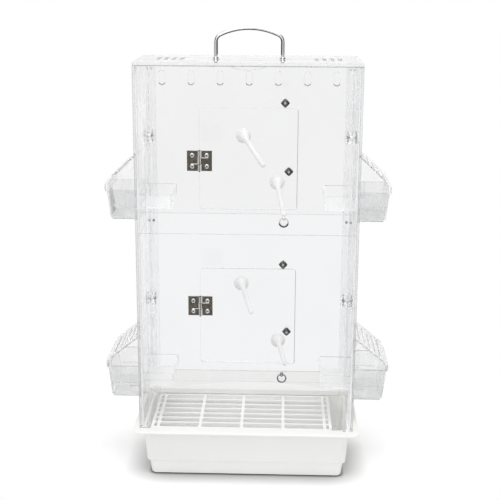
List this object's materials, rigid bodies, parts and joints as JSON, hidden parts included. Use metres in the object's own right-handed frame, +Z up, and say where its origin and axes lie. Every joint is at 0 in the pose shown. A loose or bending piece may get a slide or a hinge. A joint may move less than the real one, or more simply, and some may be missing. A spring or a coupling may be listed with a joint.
{
  "type": "bird cage",
  "caption": "Tall clear bird cage with stacked front doors, side feeders under slotted hoods, white perches, a carrying handle and a white litter tray with a grille.",
  "frame": {"origin": "centre of the bounding box at floor level, under the middle of the tray", "axes": "+Z up, +Y to the back, so the doors face -Y, +X to the right as seen from the front"},
  "size_m": [0.397, 0.166, 0.6267],
  "materials": {
    "clear_sheet": "clear, polished",
    "clear_mould": "clear, moulded",
    "white_tray": "moulded, slightly satin",
    "white_perch": "smooth",
    "handle_steel": "polished",
    "dark_nickel": "dark plated",
    "screw_steel": "bright"
  },
  "bodies": {
    "tray": {"base_tray": "white_tray"},
    "grille": {"floor_grille": "white_tray"},
    "cage": {"corner_post_front_left": "clear_sheet", "corner_post_front_right": "clear_sheet", "corner_post_back_left": "clear_sheet", "corner_post_back_right": "clear_sheet", "top_panel": "clear_sheet", "front_panel_upper": "clear_sheet", "front_panel_lower": "clear_sheet", "back_panel_upper": "clear_sheet", "back_panel_lower": "clear_sheet", "back_skirt": "clear_sheet", "side_panel_left_upper": "clear_sheet", "side_panel_left_lower": "clear_sheet", "side_panel_right_upper": "clear_sheet", "side_panel_right_lower": "clear_sheet", "post_screws": "screw_steel", "handle": "handle_steel", "handle_screws": "screw_steel", "feeder_hood_left_upper": "clear_mould", "feeder_hood_left_lower": "clear_mould", "feeder_hood_right_upper": "clear_mould", "feeder_hood_right_lower": "clear_mould", "perch_upper_left": "white_perch", "perch_upper_right": "white_perch", "perch_lower_left": "white_perch", "perch_lower_right": "white_perch", "perch_bolts": "screw_steel", "side_knob_left_upper": "clear_mould", "side_knob_left_lower": "clear_mould", "side_knob_right_upper": "clear_mould", "side_knob_right_lower": "clear_mould", "side_knob_bolts": "screw_steel", "hinge_frame_leaf_upper": "dark_nickel", "hinge_frame_leaf_lower": "dark_nickel", "hinge_pin_upper": "dark_nickel", "hinge_pin_lower": "dark_nickel", "hinge_frame_screws": "screw_steel", "button_pivots": "screw_steel", "ring_posts": "screw_steel"},
    "door_upper": {"door_upper": "clear_sheet", "hinge_door_leaf_upper": "dark_nickel", "hinge_door_screws_upper": "screw_steel", "door_knob_upper": "dark_nickel", "door_knob_screw_upper": "screw_steel"},
    "door_lower": {"door_lower": "clear_sheet", "hinge_door_leaf_lower": "dark_nickel", "hinge_door_screws_lower": "screw_steel", "door_knob_lower": "dark_nickel", "door_knob_screw_lower": "screw_steel"},
    "button_upper": {"turn_button_upper": "dark_nickel"},
    "button_lower": {"turn_button_lower": "dark_nickel"},
    "ring_upper": {"ring_upper": "screw_steel"},
    "ring_lower": {"ring_lower": "screw_steel"},
    "cup_left_upper": {"feeder_cup_left_upper": "clear_mould"},
    "cup_left_lower": {"feeder_cup_left_lower": "clear_mould"},
    "cup_right_upper": {"feeder_cup_right_upper": "clear_mould"},
    "cup_right_lower": {"feeder_cup_right_lower": "clear_mould"}
  },
  "joints": [
    {"name": "grille_lift", "type": "slide", "parent": "tray", "child": "grille", "axis": [0, 0, 1], "range_m": [0, 0.045]},
    {"name": "cage_lift", "type": "slide", "parent": "tray", "child": "cage", "axis": [0, 0, 1], "range_m": [0, 0.15]},
    {"name": "door_upper_swing", "type": "hinge", "parent": "cage", "child": "door_upper", "pos_m": [-0.063, -0.0678, 0.455], "axis": [0, 0, -1], "range_deg": [0, 150]},
    {"name": "door_lower_swing", "type": "hinge", "parent": "cage", "child": "door_lower", "pos_m": [-0.063, -0.0678, 0.255], "axis": [0, 0, -1], "range_deg": [0, 150]},
    {"name": "button_upper_turn", "type": "hinge", "parent": "cage", "child": "button_upper", "pos_m": [0.049, -0.0675, 0.5296], "axis": [0, 1, 0], "range_deg": [0, 180]},
    {"name": "button_lower_turn", "type": "hinge", "parent": "cage", "child": "button_lower", "pos_m": [0.049, -0.0675, 0.3126], "axis": [0, 1, 0], "range_deg": [0, 180]},
    {"name": "ring_upper_swing", "type": "hinge", "parent": "cage", "child": "ring_upper", "pos_m": [0.049, -0.0691, 0.379], "axis": [-1, 0, 0], "range_deg": [0, 150]},
    {"name": "ring_lower_swing", "type": "hinge", "parent": "cage", "child": "ring_lower", "pos_m": [0.049, -0.0691, 0.158], "axis": [-1, 0, 0], "range_deg": [0, 150]},
    {"name": "cup_left_upper_pull", "type": "slide", "parent": "cage", "child": "cup_left_upper", "axis": [-1, 0, 0], "range_m": [0, 0.05]},
    {"name": "cup_left_lower_pull", "type": "slide", "parent": "cage", "child": "cup_left_lower", "axis": [-1, 0, 0], "range_m": [0, 0.05]},
    {"name": "cup_right_upper_pull", "type": "slide", "parent": "cage", "child": "cup_right_upper", "axis": [1, 0, 0], "range_m": [0, 0.05]},
    {"name": "cup_right_lower_pull", "type": "slide", "parent": "cage", "child": "cup_right_lower", "axis": [1, 0, 0], "range_m": [0, 0.05]}
  ]
}
